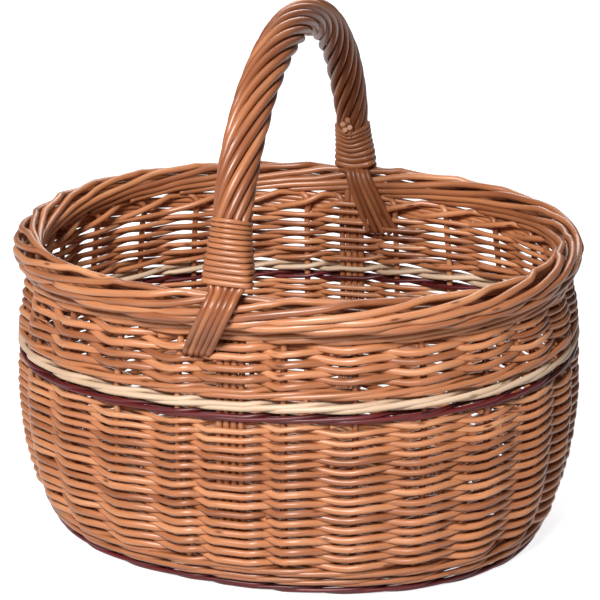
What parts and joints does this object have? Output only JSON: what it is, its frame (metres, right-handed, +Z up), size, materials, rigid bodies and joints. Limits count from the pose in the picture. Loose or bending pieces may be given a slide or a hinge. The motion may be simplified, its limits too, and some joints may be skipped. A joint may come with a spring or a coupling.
{
  "type": "mushroom foraging basket",
  "caption": "Oval woven willow basket with a fixed arched handle of twisted rods bound at both feet, a rolled border, and a dark and a cream band round its bellied wall.",
  "frame": {"origin": "middle of the foot, on the ground that the basket stands on", "axes": "+X along the basket's length, +Y from the front to the back through both feet of the handle, +Z up"},
  "size_m": [0.4066, 0.3642, 0.3802],
  "materials": {
    "buff_willow": "satin",
    "white_willow": "satin",
    "stained_willow": "satin"
  },
  "bodies": {
    "root": {"base_sticks": "buff_willow", "base_weave": "buff_willow", "foot_wale": "stained_willow", "upsett_wale": "buff_willow", "lower_randing_01": "buff_willow", "lower_randing_02": "buff_willow", "lower_randing_03": "buff_willow", "lower_randing_04": "buff_willow", "lower_randing_05": "buff_willow", "lower_randing_06": "buff_willow", "lower_randing_07": "buff_willow", "lower_randing_08": "buff_willow", "lower_randing_09": "buff_willow", "lower_randing_10": "buff_willow", "lower_randing_11": "buff_willow", "dark_wale": "stained_willow", "cream_wale": "white_willow", "buff_wale": "buff_willow", "upper_randing_01": "buff_willow", "upper_randing_02": "buff_willow", "upper_randing_03": "buff_willow", "top_wale": "buff_willow", "stake_01": "buff_willow", "stake_02": "buff_willow", "stake_03": "buff_willow", "stake_04": "buff_willow", "stake_05": "buff_willow", "stake_06": "buff_willow", "stake_07": "buff_willow", "stake_08": "buff_willow", "stake_09": "buff_willow", "stake_10": "buff_willow", "stake_11": "buff_willow", "stake_12": "buff_willow", "stake_13": "buff_willow", "stake_14": "buff_willow", "stake_15": "buff_willow", "stake_16": "buff_willow", "stake_17": "buff_willow", "stake_18": "buff_willow", "stake_19": "buff_willow", "stake_20": "buff_willow", "stake_21": "buff_willow", "stake_22": "buff_willow", "stake_23": "buff_willow", "stake_24": "buff_willow", "stake_25": "buff_willow", "stake_26": "buff_willow", "handle_bow": "buff_willow", "handle_rod_1": "buff_willow", "handle_rod_2": "buff_willow", "handle_rod_3": "buff_willow", "handle_rod_4": "buff_willow", "handle_rod_5": "buff_willow", "handle_rod_6": "buff_willow", "handle_rod_7": "buff_willow", "handle_rod_8": "buff_willow", "binding_front": "buff_willow", "binding_rear": "buff_willow"}
  },
  "joints": []
}
